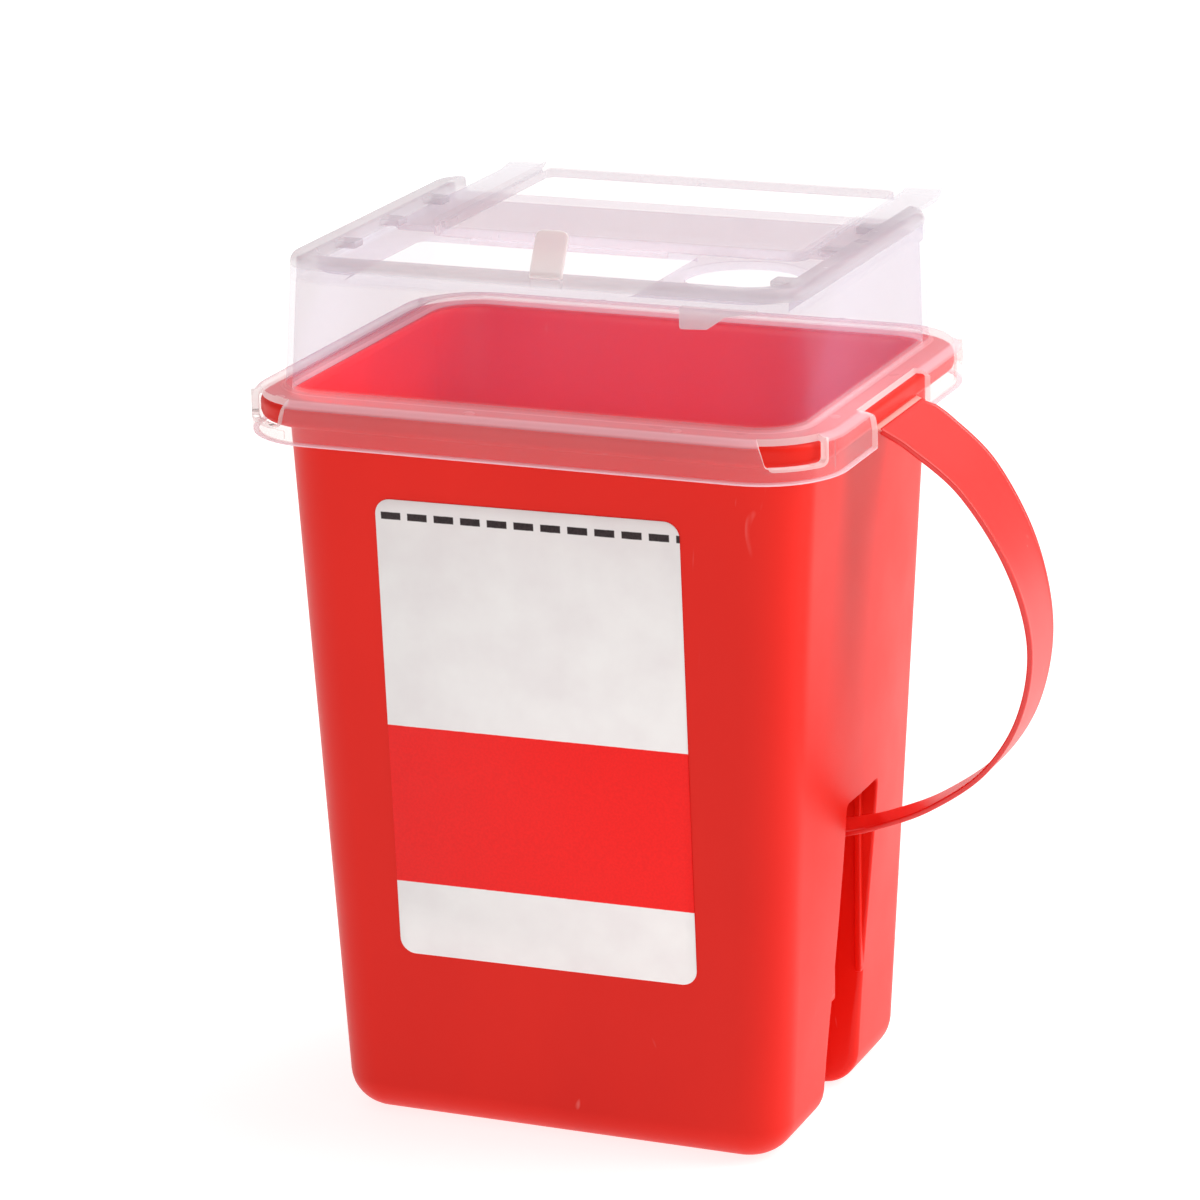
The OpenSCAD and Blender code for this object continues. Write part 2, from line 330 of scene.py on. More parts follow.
def red_plastic(name, base, dark, rough=0.4, sss=0.12, grain=0.35, through=0.0):
    """Moulded red polypropylene: satin, faint flow marks, fine grain, small scuffs and specks."""
    k = Nodes(name)
    co = k.coords()
    flow = k.noise(co, 22, 3, 0.5, 0.4, (1, 1, 0.45))
    col = k.mix(k.ramp(flow, [(0.32, 0), (0.68, 1)]), base, dark)
    # short pale scuffs
    sc = k.noise(co, 210, 2, 0.6, 1.2, (1, 1, 0.22))
    big = k.noise(co, 26, 2, 0.5)
    scuff = k.math("MULTIPLY", k.ramp(sc, [(0.70, 0), (0.76, 1)]), k.ramp(big, [(0.5, 0), (0.66, 1)]))
    col = k.mix(k.math("MULTIPLY", scuff, 0.28), col, (0.95, 0.45, 0.42, 1))
    # dust specks
    vo = k.add("ShaderNodeTexVoronoi", inputs={"Scale": 260.0, "Randomness": 1.0})
    k.link(co, vo.inputs["Vector"])
    near = k.ramp(vo.outputs["Distance"], [(0.0, 1), (0.10, 0)])
    pick = k.ramp(vo.outputs["Color"], [(0.93, 0), (0.95, 1)])
    col = k.mix(k.math("MULTIPLY", k.math("MULTIPLY", near, pick), 0.55), col, (1.0, 0.72, 0.68, 1))
    b = k.add("ShaderNodeBsdfPrincipled")
    b.inputs["Subsurface Weight"].default_value = sss
    b.inputs["Subsurface Radius"].default_value = (1.0, 0.12, 0.08)
    b.inputs["Subsurface Scale"].default_value = 0.002
    b.inputs["IOR"].default_value = 1.49
    b.inputs["Specular IOR Level"].default_value = 0.22
    k.link(col, b.inputs["Base Color"])
    ro = k.math("ADD", k.math("MULTIPLY", k.noise(co, 60, 3), 0.12), rough - 0.06)
    ro = k.math("ADD", ro, k.math("MULTIPLY", scuff, 0.15), clamp=True)
    k.link(ro, b.inputs["Roughness"])
    fine = k.noise(co, 2600, 2, 0.5)
    wave = k.noise(co, 45, 2, 0.4)
    n1 = k.bump(fine, grain, 0.00003)
    n2 = k.bump(wave, 0.35, 0.0004, n1)
    k.link(n2, b.inputs["Normal"])
    if through:
        tr = k.add("ShaderNodeBsdfTranslucent")
        k.link(col, tr.inputs["Color"])
        k.link(n2, tr.inputs["Normal"])
        mx = k.add("ShaderNodeMixShader")
        mx.inputs[0].default_value = through
        k.link(b.outputs[0], mx.inputs[1])
        k.link(tr.outputs[0], mx.inputs[2])
        k.link(mx.outputs[0], k.out.inputs["Surface"])
    else:
        k.link(b.outputs[0], k.out.inputs["Surface"])
    return k.mat


def clear_plastic(name, thin, thick, milk_share, edge_share, milk_and_highlight_zones=(), rough=0.3, glow=0.45, see=(0.957, 0.942, 0.931, 1), painted_light_below=None):
    """Natural polypropylene: lets most of what is behind show, milkier where it is thick or seen edge-on.
    zones are heights (from, full from, full to, to) in millimetres and the milk they add; a narrow zone along an edge
    paints a highlight line there, a wide one makes the plastic milkier."""
    k = Nodes(name)
    co = k.coords()
    cloud = k.noise(co, 30, 3, 0.55, 0.3)
    lw = k.add("ShaderNodeLayerWeight")
    lw.inputs["Blend"].default_value = 0.5
    share = k.math("ADD", k.math("MULTIPLY", k.math("POWER", lw.outputs["Facing"], 2.6), edge_share), milk_share)
    # height zones: narrow ones paint highlight lines along edges, wide ones add milk
    if milk_and_highlight_zones:
        sep = k.add("ShaderNodeSeparateXYZ")
        k.link(co, sep.inputs[0])
        for z0, z1, z2, z3, amount in milk_and_highlight_zones:
            for u, (q0, q1) in enumerate(((z0, z1), (z3, z2))):
                mr = k.add("ShaderNodeMapRange")
                mr.clamp = True
                for i, v in ((1, q0 * MM), (2, q1 * MM), (3, 0.0), (4, 1.0)):
                    mr.inputs[i].default_value = v
                k.link(sep.outputs[2], mr.inputs[0])
                both = mr.outputs[0] if u == 0 else k.math("MULTIPLY", both, mr.outputs[0])
            share = k.math("ADD", share, k.math("MULTIPLY", both, amount))
    share = k.math("ADD", share, k.math("MULTIPLY", k.math("SUBTRACT", cloud, 0.5), 0.05), clamp=True)
    # small scuffs and specks
    scuff = k.ramp(k.noise(co, 420, 4, 0.6, 0.6), [(0.71, 0), (0.78, 1)])
    share = k.math("ADD", share, k.math("MULTIPLY", scuff, 0.16), clamp=True)
    grow = k.add("ShaderNodeMapRange")
    grow.clamp = True
    for i, v in ((1, 0.05), (2, 0.30), (3, 0.0), (4, 1.0)):
        grow.inputs[i].default_value = v
    k.link(share, grow.inputs[0])
    col = k.mix(grow.outputs[0], thin, thick)
    if painted_light_below:                                   # below this height the milk takes a paler, pinker colour: painted light on the skirt and flange
        mr = k.add("ShaderNodeMapRange")
        mr.clamp = True
        for i, v in ((1, 143.6 * MM), (2, 145.0 * MM), (3, 0.0), (4, 1.0)):
            mr.inputs[i].default_value = v
        k.link(sep.outputs[2], mr.inputs[0])
        col = k.mix(mr.outputs[0], painted_light_below, col)
    b = k.add("ShaderNodeBsdfPrincipled")
    b.inputs["IOR"].default_value = 1.49
    k.link(col, b.inputs["Base Color"])
    ro = k.math("ADD", k.math("MULTIPLY", k.noise(co, 90, 3), 0.16), rough - 0.08, clamp=True)
    k.link(ro, b.inputs["Roughness"])
    fine = k.noise(co, 1500, 2, 0.5)
    wave = k.noise(co, 60, 2, 0.5)
    n1 = k.bump(fine, 0.25, 0.00003)
    n2 = k.bump(wave, 0.3, 0.0003, n1)
    k.link(n2, b.inputs["Normal"])
    tr = k.add("ShaderNodeBsdfTranslucent")
    k.link(col, tr.inputs["Color"])
    k.link(n2, tr.inputs["Normal"])
    milk = k.add("ShaderNodeMixShader")
    milk.inputs[0].default_value = glow
    k.link(b.outputs[0], milk.inputs[1])
    k.link(tr.outputs[0], milk.inputs[2])
    clear = k.add("ShaderNodeBsdfTransparent")
    clear.inputs["Color"].default_value = see
    top = k.add("ShaderNodeMixShader")
    k.link(share, top.inputs[0])
    k.link(clear.outputs[0], top.inputs[1])
    k.link(milk.outputs[0], top.inputs[2])
    k.link(top.outputs[0], k.out.inputs["Surface"])
    return k.mat


mat_tub = red_plastic("red_pp", (0.79, 0.0120, 0.0035, 1), (0.73, 0.0095, 0.0030, 1), 0.42, 0.10)
# the strap is moulded in one with the tub: its paler, lighter base colour is painted sheen
mat_strap = red_plastic("red_strap_pp", (0.86, 0.016, 0.008, 1), (0.81, 0.012, 0.006, 1), 0.34, 0.15, 0.25, 0.30)
mat_strap.node_tree.nodes["Principled BSDF"].inputs["Specular IOR Level"].default_value = 1.0
mat_strap.node_tree.nodes["Principled BSDF"].inputs["Coat Weight"].default_value = 0.35
mat_strap.node_tree.nodes["Principled BSDF"].inputs["Coat Roughness"].default_value = 0.35
# pale pink web: the stress-whitened hinge, with a painted highlight along it
mat_hinge = red_plastic("red_hinge_pp", (0.95, 0.50, 0.46, 1), (0.95, 0.42, 0.38, 1), 0.35, 0.1, 0.2, 0.25)
THIN, THICK = (0.52, 0.52, 0.95, 1), (0.68, 0.67, 0.75, 1)
# extra milk by height: the narrow zones at the skirt's bottom edge, along the flange's rounded edge and at the flange's
# seam with the dome are painted highlight lines; the wide ones make the skirt and the top milkier
# the colour given for below 143.6 mm is paler and pinker milk: painted light on the skirt and flange
mat_lid = clear_plastic("clear_pp", THIN, THICK, 0.075, 0.09, [
    (135.0, 135.1, 135.45, 135.8, 0.62), (135.1, 135.3, 143.3, 143.5, 0.03), (142.0, 142.1, 143.52, 143.6, 0.15), (142.1, 142.6, 143.35, 143.50, 0.26),
    (143.49, 143.56, 144.0, 144.5, 0.24), (163.5, 163.7, 165.05, 165.2, 0.05), (165.1, 165.3, 168.6, 169.0, 0.03),
    (165.9, 166.3, 168.6, 169.0, 0.27)], painted_light_below=(1.0, 0.83, 0.92, 1))
# cut faces and the window frames: milky plastic seen edge-on, made whiter as a painted highlight along the cut edges
mat_edge_highlight = clear_plastic("clear_pp_edge_highlight", (0.96, 0.92, 0.93, 1), (0.97, 0.93, 0.94, 1), 0.56, 0.20)
mat_cover = clear_plastic("clear_cover_pp", (0.70, 0.68, 0.74, 1), THICK, 0.022, 0.06, [(165.0, 165.2, 167.0, 167.2, 0.27), (163.9, 164.0, 165.2, 165.3, 0.10)],
                          see=(0.987, 0.978, 0.978, 1))
mat_tab = clear_plastic("clear_tab_pp", (0.96, 0.94, 0.95, 1), (0.97, 0.95, 0.96, 1), 0.50, 0.25, (), 0.3, 0.5)
# ---------------------------------------------------------------- tub
def wz(z): return 89.8 + 13.2 * z / 135.2
def dz(z): return 71.1 + 10.1 * z / 135.2
def rz(z): return 8.8 + 2.2 * z / 135.2
def bow(z): return 2.0 * math.sin(math.pi * min(max(z, 0), 142) / 142) ** 2


def body_ring(z, i, **kw):
    return ring(wz(z) - 2 * i, dz(z) - 2 * i, max(rz(z) - i, 1), z, bow(z) if 0 < z < 141.5 else 0, **kw)


def outer_rings(s, z0, f, top, step=6.0):
    out = []
    for a in range(0, 91, 9):
        i = s + f * (1 - math.sin(math.radians(a)))
        z = z0 + f * (1 - math.cos(math.radians(a)))
        out.append(body_ring(z, i))
    z = z0 + f
    while z + step < top:
        z += step
        out.append(body_ring(z, s))
    out.append(body_ring(top, s))
    return out


rings = [body_ring(0.7, 14), body_ring(0.7, 11.4), body_ring(0.55, 10.9), body_ring(0.25, 10.6), body_ring(0.05, 10.4), body_ring(0.0, 10.1)]
rings += outer_rings(0, 0, 7, 138.6)
rings += [ring(103.5, 81.6, 11.1, 139.6), ring(103.9, 82.0, 11.2, 140.3), ring(104.6, 82.7, 11.4, 140.7),
          ring(109.2, 87.5, 12.6, 140.7), ring(109.9, 88.2, 12.9, 140.4), ring(110.2, 88.5, 13.0, 139.8), ring(110.2, 88.5, 13.0, 138.5),
          ring(110.4, 88.7, 13.1, 138.15), ring(110.8, 89.1, 13.3, 138.0), ring(111.3, 89.6, 13.55, 138.05),
          ring(111.9, 90.2, 13.85, 138.3), ring(112.5, 90.8, 14.15, 138.75), ring(112.8, 91.1, 14.3, 139.3),
          ring(112.8, 91.1, 14.3, 140.7), ring(112.65, 90.95, 14.2, 141.25), ring(112.2, 90.5, 14.0, 141.7), ring(111.5, 89.8, 13.65, 141.93),
          ring(110.8, 89.1, 13.3, 142.0), ring(102.0, 79.9, 10.5, 142.0), ring(101.2, 79.1, 10.1, 141.85), ring(100.7, 78.6, 9.85, 141.45)]
inner = []
for a in range(0, 91, 10):
    i = 1.6 + 5.6 * (1 - math.sin(math.radians(a)))
    z = 1.8 + 5.6 * (1 - math.cos(math.radians(a)))
    inner.append(body_ring(z, i))
z = 7.4
while z + 7 < 140.6:
    z += 7
    inner.append(body_ring(z, 1.6))
inner.append(body_ring(140.6, 1.6))
inner = [body_ring(1.8, 16)] + inner
rings += inner[::-1]
tub = loft("tub", rings)

CY, HALF, TOP, BACK = -0.8, 8.4, 64.0, 38.4


def wall_at(z, y):
    """Point (x, z) of the right wall's outer face and the outward direction there."""
    ym = dz(z) / 2 - rz(z)
    b = bow(z) * (1 - (y / ym) ** 2)
    if z < 7:
        c = max(-1.0, min(1.0, 1 - z / 7))
        a = math.acos(c)
        return wz(z) / 2 - 7 * (1 - math.sin(a)) + b, z, math.sin(a), -math.cos(a)
    return wz(z) / 2 + b, z, 1.0, 0.0


def flare(z):
    t = max(0.0, min(1.0, (34 - z) / 28))
    return 0.55 + 1.25 * t * t * (3 - 2 * t)


rc = 1.0
outline = []
for z in (0.02, 0.08, 0.22, 0.45, 0.8, 1.3, 2, 2.9, 4, 5.3, 6.6, 8, 10, 13, 17, 21, 25, 29, 33, 38, 43, 48, 53, 57, 60.2):
    outline.append((-HALF, z, -1.0, 0.0))
for i in range(6):
    a = math.radians(180 - 18 * i)
    outline.append((-HALF + rc + rc * math.cos(a), TOP - rc + rc * math.sin(a), math.cos(a), math.sin(a)))
for y in (-5, -2.5):
    outline.append((y, TOP, 0.0, 1.0))
outline = outline + [(-y, z, -oy, oz) for y, z, oy, oz in outline[::-1]]


def mouth_ring(extra):
    pts = []
    for y, z, oy, oz in outline:
        r = flare(z)
        o, d = extra(r)
        zz = max(z + oz * o, 0.0)
        x, zw, nx, nz = wall_at(zz if oz else z, CY + y + oy * o)
        pts.append((x - d * nx, CY + y + oy * o, zw - d * nz))
    return pts


cut_rings = [mouth_ring(lambda r: (r * 0.74 + 3.8, 0.034 * r - 1.02)), mouth_ring(lambda r: (r * 0.74, 0.034 * r))]
for t in (32, 50, 70, 90):
    cut_rings.append(mouth_ring(lambda r, t=t: (r * (1 - math.sin(math.radians(t))), r * (1 - math.cos(math.radians(t))))))
prev = cut_rings[-1]
for k, (bx, o) in enumerate(((39.4, 0.0), (38.9, -0.14), (38.54, -0.5), (38.4, -1.0))):
    pts = []
    for (x, y, z), (_, _, oy, oz) in zip(prev, outline):
        pts.append((min(x - 0.03 * (k + 1), bx), y + oy * o, z + oz * o))
    cut_rings.append(pts)
cutter = loft("channel_cut", cut_rings, fan=True)
ribs = []
for m in (-1, 1):
    ya, yb = sorted((CY + m * 7.3, CY + m * 9.6))
    ribs.append(box("rib", 45.4, 46.7, ya, yb, 24.6, 66, 0.32, 0.32))
boolean(cutter, ribs, "DIFFERENCE")

housing = box("housing", 37.0, 60, CY - HALF - 1.4, CY + HALF + 1.4, 0.9, 63.4, 1.2, 1.2)
core = loft("core", outer_rings(0.8, 0.8, 6.2, 80))
boolean(housing, [core], "INTERSECT")
boolean(tub, [housing], "UNION")
boolean(tub, [cutter], "DIFFERENCE")
finish_mesh(tub, 34)
piece(tub, "tub", mat_tub, "tub")

# ---------------------------------------------------------------- label: bare film with a plain band and a dashed fill line
LW, LH, LT = 60.0, 90.0, 0.15
tilt = math.atan((81.2 - 71.1) / 2 / 135.2)
place_label = (Matrix.Translation((0, -71.1 / 2, 0)) @ Matrix.Rotation(tilt, 4, "X") @ Matrix.Translation((-0.6, -0.02, 80.2))
               @ Matrix.Rotation(math.radians(-0.65), 4, "Y"))
lr = []
for t, i in ((0.0, 0.03), (0.03, 0.0), (0.12, 0.0), (LT, 0.03)):
    lr.append([tuple(place_label @ Vector((x, -t, y))) for x, y, _ in ring(LW - 2 * i, LH - 2 * i, 3 - i, 0, n=8, m=(10, 6, 10, 6))])
label = loft("label", lr)
uv = label.data.uv_layers.new(name="print_mm")
back = place_label.inverted()
for lp in label.data.loops:
    v = label.data.vertices[lp.vertex_index].co / MM
    q = back @ v
    uv.data[lp.index].uv = (q.x + LW / 2, q.z + LH / 2)
finish_mesh(label, 50, False)

k = Nodes("label_film")
uvn = k.add("ShaderNodeUVMap", uv_map="print_mm")
sep = k.add("ShaderNodeSeparateXYZ")
k.link(uvn.outputs[0], sep.inputs[0])
u, v = sep.outputs[0], sep.outputs[1]
co = k.coords()
wob = k.math("MULTIPLY", k.math("SUBTRACT", k.noise(co, 900, 2), 0.5), 0.10)


def inside(x, lo, hi, soft=0.05):
    a = k.math("SMOOTH_MIN", k.math("SUBTRACT", x, lo), k.math("SUBTRACT", hi, x), 0.01)
    return k.math("DIVIDE", k.math("ADD", a, soft / 2), soft, clamp=True)


vv = k.math("ADD", v, wob)
band = inside(vv, 14.6, 45.8, 0.12)
cell = k.math("MODULO", k.math("ADD", u, 5.295 - 1.1), 5.295)
dash = k.math("MULTIPLY", inside(k.math("ADD", cell, wob), 0.02, 3.95, 0.12), inside(vv, 86.15, 87.55, 0.14))
ink = k.noise(co, 2200, 2)
paper = k.mix(k.ramp(k.noise(co, 120, 3), [(0.3, 0), (0.7, 1)]), srgb(244, 240, 239), srgb(238, 232, 232))
red_ink = k.mix(k.ramp(ink, [(0.35, 0), (0.65, 1)]), srgb(247, 14, 9), srgb(240, 9, 6))
col = k.mix(band, paper, red_ink)
dark_ink = k.mix(k.ramp(ink, [(0.35, 0), (0.65, 1)]), srgb(44, 34, 36), srgb(58, 46, 48))
col = k.mix(dash, col, dark_ink)
b = k.add("ShaderNodeBsdfPrincipled")
b.inputs["IOR"].default_value = 1.45
b.inputs["Specular IOR Level"].default_value = 0.25
b.inputs["Coat Weight"].default_value = 0.04
b.inputs["Coat Roughness"].default_value = 0.25
k.link(col, b.inputs["Base Color"])
k.link(k.math("ADD", k.math("MULTIPLY", k.noise(co, 300, 3), 0.15), 0.36), b.inputs["Roughness"])
n1 = k.bump(k.noise(co, 1800, 2), 0.2, 0.00002)
n2 = k.bump(k.noise(co, 35, 2, 0.4), 0.25, 0.0004, n1)
k.link(n2, b.inputs["Normal"])
k.link(b.outputs[0], k.out.inputs["Surface"])
piece(label, "tub", k.mat, "label")

# ---------------------------------------------------------------- strap handle
HINGE = (57.3, 137.4)
PTS = [(52, 140.5), HINGE, (62.8, 134.2), (72, 126.5), (80.3, 113), (84.1, 98), (82, 83.6), (75.2, 72.2), (64.8, 64), (55, 59.3), (47.3, 56.8), (42.4, 56), (40, 55.7)]


def catmull(p0, p1, p2, p3, t):
    return tuple(0.5 * (2 * b + (c - a) * t + (2 * a - 5 * b + 4 * c - d) * t * t + (3 * b - a - 3 * c + d) * t ** 3) for a, b, c, d in zip(p0, p1, p2, p3))


line = [catmull(PTS[i - 1], PTS[i], PTS[i + 1], PTS[i + 2], j / 16) for i in range(1, len(PTS) - 2) for j in range(16)] + [PTS[-2]]
line = np.array(line)
seg = np.r_[0, np.cumsum(np.linalg.norm(np.diff(line, axis=0), axis=1))]
tan = np.gradient(line, seg, axis=0)
tan /= np.linalg.norm(tan, axis=1)[:, None]
out_n = np.stack([-tan[:, 1], tan[:, 0]], 1)
if out_n[len(line) // 2][0] < 0:
    out_n = -out_n
ZW = [57, 64, 79, 92, 105, 117, 129, 137]
WW = [9.6, 10.1, 12.0, 12.4, 15.4, 19.2, 22.2, 25.6]
strap_rings = []
for (x, z), nn, s in zip(line, out_n, seg):
    w = float(np.mean([np.interp(z + d, ZW, WW) for d in np.linspace(-7, 7, 15)]))
    mid = float(np.interp(z, [57, 137.4], [-0.8, 0.8]))
    h = w / 2
    rise = 0.16 * float(np.interp(s, [0, 3, 34, 50, 200], [0.2, 1, 1, 0.25, 0.25]))
    trim = 1.6 * max(0.0, 1 - s / 2.4)       # rear corner cut off at the root
    lo, hi = mid - h, mid + h - trim
    T = 0.53
    cw, q = hi - lo, 0.30
    prof = []
    for a in (270, 240, 210, 180):           # inner face to the front edge
        prof.append((lo + q + q * math.cos(math.radians(a)), -T + q + q * math.sin(math.radians(a))))
    for a in (180, 150, 120, 90):
        prof.append((lo + q + q * math.cos(math.radians(a)), T - q + q * math.sin(math.radians(a))))
    prof += [(lo + 0.75, T), (lo + 1.0, T - rise * 0.5), (lo + 1.3, T - rise)]
    prof += [(lo + cw * f, T - rise) for f in (0.25, 0.5, 0.75)]
    prof += [(hi - 1.3, T - rise), (hi - 1.0, T - rise * 0.5), (hi - 0.75, T)]
    for a in (90, 60, 30, 0):
        prof.append((hi - q + q * math.cos(math.radians(a)), T - q + q * math.sin(math.radians(a))))
    for a in (0, -30, -60, -90):
        prof.append((hi - q + q * math.cos(math.radians(a)), -T + q + q * math.sin(math.radians(a))))
    prof += [(lo + cw * f, -T) for f in (0.75, 0.5, 0.25)]
    strap_rings.append([(x + nn[0] * t, y, z + nn[1] * t) for y, t in prof])
strap = loft("strap_handle", strap_rings)
# head bar in the channel and rolled root edge
bar = []
for y, r in ((-7.0, 0.5), (-6.8, 1.0), (-6.4, 1.35), (-5.9, 1.5), (5.9, 1.5), (6.4, 1.35), (6.8, 1.0), (7.0, 0.5)):
    bar.append([(42.4 + r * math.cos(2 * math.pi * i / 28), CY + y, 56 + r * math.sin(2 * math.pi * i / 28)) for i in range(28)])
bar = loft("bar", bar)
root = []
for y, r in ((-12.0, 0.35), (-11.85, 0.5), (-11.6, 0.54), (11.2, 0.54), (11.6, 0.5), (11.9, 0.3)):
    root.append([(HINGE[0] + r * math.cos(2 * math.pi * i / 20), 0.8 + y - 0.1, HINGE[1] + r * math.sin(2 * math.pi * i / 20)) for i in range(20)])
root = loft("root", root)
boolean(strap, [bar, root], "UNION")
finish_mesh(strap, 40)
piece(strap, "strap", mat_strap, "strap_handle")

# living hinge: thin web between the rim and the strap's root
web = prism("hinge_web", [(-12.1, 0), (11.9, 0), (12.0, 1.75), (-12.3, 1.75)], 0.2,
            lambda a, c, t: (55.75 + c * 0.93 + t * 0.36, 0.8 + a, 138.02 - c * 0.36 + t * 0.93), -0.22, 0.22, 0.12)
finish_mesh(web, 40, False)
web.data.materials.append(mat_hinge)
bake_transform(web)


# ---------------------------------------------------------------- lid
FZ, DZ = 143.5, 168.5


def dome_ring(z, s, **kw):
    t = (z - FZ) / (DZ - FZ)
    w, d, r, c = 103.2 - 2.2 * t, 82.1 - 5.8 * t, 9.7 - 2.9 * t, 1.05 * max(t, 0)
    return ring(w - 2 * s, d - 2 * s, max(r - s, 0.8), z, 0, 0, c, **kw)


KW = dict(n=12, m=(6, 6, 6, 6))
L = [dome_ring(163.8, 2.4, **KW), dome_ring(163.8, 1.9, **KW), dome_ring(163.6, 1.45, **KW), dome_ring(163.2, 1.2, **KW)]
for z in (158, 152, 147, 143.5):
    L.append(dome_ring(z, 1.2, **KW))
L += [dome_ring(142.5, 1.15, **KW), dome_ring(142.2, 0.95, **KW), dome_ring(142.15, 0.6, **KW)]
L += [ring(112.8, 91.1, 14.3, 142.15, **KW), ring(113.5, 91.8, 14.65, 142.0, **KW), ring(113.8, 92.1, 14.8, 141.6, **KW),
      ring(113.8, 92.1, 14.8, 138.5, **KW), ring(113.8, 92.1, 14.8, 135.5, **KW), ring(114.0, 92.3, 14.9, 135.28, **KW), ring(114.4, 92.7, 15.1, 135.2, **KW),
      ring(115.4, 93.7, 15.6, 135.2, **KW), ring(115.8, 94.1, 15.8, 135.28, **KW), ring(116, 94.3, 15.9, 135.5, **KW),
      ring(116, 94.3, 15.9, 138, **KW), ring(116, 94.3, 15.9, 140.6, **KW)]
for a in (0, 9, 18, 27, 36, 45, 54, 63, 72, 81, 90):
    i = 2.3 * (1 - math.cos(math.radians(a)))
    L.append(ring(116 - 2 * i, 94.3 - 2 * i, 15.9 - i, 141.2 + 2.3 * math.sin(math.radians(a)), **KW))
L += [ring(105.2, 84.1, 10.7, 143.5, **KW), ring(104.2, 83.1, 10.2, 143.58, **KW), ring(103.6, 82.5, 9.9, 143.85, **KW), dome_ring(144.4, 0, **KW)]
for z in (148, 152, 156, 160, 164):
    L.append(dome_ring(z, 0, **KW))
for a in (0, 15, 30, 45, 60, 75, 90):
    z = DZ - 1.7 * (1 - math.sin(math.radians(a)))
    i = 1.7 * (1 - math.cos(math.radians(a)))
    L.append(dome_ring(z, i, **KW))
lid = loft("lid", L)
for m in ("a", "b"):
    lid.data.materials.append(bpy.data.materials.get("mark_" + m) or bpy.data.materials.new("mark_" + m))

TK = dict(n=12, m=(4, 4, 4, 4))


def track(z, i):
    return ring(92 - 2 * i, 96.3 - 2 * i, 7 - i, z, 0, 0, -35.3 + 48.15, **TK)


T0 = math.radians(15)
f = 0.5
cuts = [loft("track", [track(165.0, 1.0), track(165.0, 0.5), track(165.07, 0.25), track(165.25, 0.07), track(165.5, 0), track(DZ - f, 0),
                       track(DZ - f + f * math.sin(math.radians(35)), -f * (1 - math.cos(math.radians(35)))),
                       track(DZ - f * (1 - math.cos(T0)), -f * (1 - math.sin(T0))),
                       track(DZ - f * (1 - math.cos(T0)) + 0.8, -f * (1 - math.sin(T0)) - 2.98)])]
for s in (-1, 1):
    cuts.append(box("hollow", s * 48.2 - 1, s * 48.2 + 1, -33, 37, 162, 167.2, 0.5, 0.9))
boolean(lid, cuts, "DIFFERENCE")
DO = dict(n=6, m=(3, 3, 3, 3))
drop_c = (-37.5 + 55.5 / 2, (-35.22 + 0.3) / 2)


def drop(z, i, left=0.0):
    return ring(55.5 - 2 * i + left, 35.52 - 2 * i, 2 - i, z, 0, drop_c[0] - left / 2, drop_c[1], **DO)


adds = []
# ring round the hole, tabs over the runners, pad behind the lock tab, needle unwinder
adds.append(loft("hole_ring", [circle(12.5, 164.4, 32, -14), circle(12.5, 165.0, 32, -14), circle(12.44, 165.1, 32, -14), circle(12.25, 165.15, 32, -14), circle(11.0, 165.15, 32, -14), circle(10.2, 165.15, 32, -14)]))
for y in (-26, 0, 20):
    adds.append(box("tab", 42, 46.6, y - 2, y + 2, 166.8, 168.1, 0.3, 0.5))
for y in (-20, 0, 20):
    adds.append(box("tab", -46.6, -42, y - 2, y + 2, 166.8, 168.1, 0.3, 0.5))
adds.append(box("pad", -3.1, 5.7, -36.3, -35.0, 163.8, 167.8, 0.3, 0.3))
adds.append(box("lug", -0.25, 5.95, -37.85, -36.0, 165.7, 167.6, 0.3, 0.3))
adds.append(edge_faces(prism("unwinder", [(27.3, 164.4), (27.3, 159.7), (32.6, 160), (36, 162.4), (42, 163.6), (42, 164.4)], [0.2, 0.7, 0.6, 0.9, 0.4, 0.2],
                  lambda a, c, t: (a, t, c), -35.0, -33.6, 0.2)))
for x0, x1 in ((-38.5, -3.0), (5.6, 19.0)):
    adds.append(box("front_strip", x0, x1, -35.6, -34.6, 163.9, 165.0, 0.2, 0.3))
# thin ribs inside the skirt, below and beside each window
RIBS = []
for mirror in (False, True):
    for sg in (1, -1):
        RIBS.append([[(-51.2, 135.9), (-51.2, 137.4), (-47.7, 137.4), (-47.7, 135.9)], mirror, sg])
        RIBS.append([[(-34.3, 136.2), (-34.3, 142.4), (-33.3, 142.4), (-33.3, 136.2)], mirror, sg])
# small round gate marks on the flange
for gx, gy in ((-48.0, -44.0), (-10.0, -44.2), (30.0, -44.2), (53.4, -26.0), (-20, 44.3), (30, 44.3)):
    adds.append(loft("gate", [circle(1.15, 143.3, gx, gy, 20), circle(1.15, 143.52, gx, gy, 20), circle(1.0, 143.62, gx, gy, 20), circle(0.4, 143.64, gx, gy, 20)]))
boolean(lid, adds, "UNION")
cuts = [loft("drop", [drop(150, 0, 1.3), drop(163.9, 0, 1.3), drop(165.0 - 0.35, 0, 0.25), drop(165 - 0.15, -0.05), drop(165.0 - 0.02, -0.2), drop(165.2, -0.25), drop(166.5, -0.25)])]
cuts.append(loft("hole", [circle(11.0, 150, 32, -14), circle(11.0, 164.75, 32, -14), circle(11.1, 165.0, 32, -14), circle(11.3, 165.13, 32, -14), circle(11.6, 165.2, 32, -14), circle(11.7, 170, 32, -14)]))


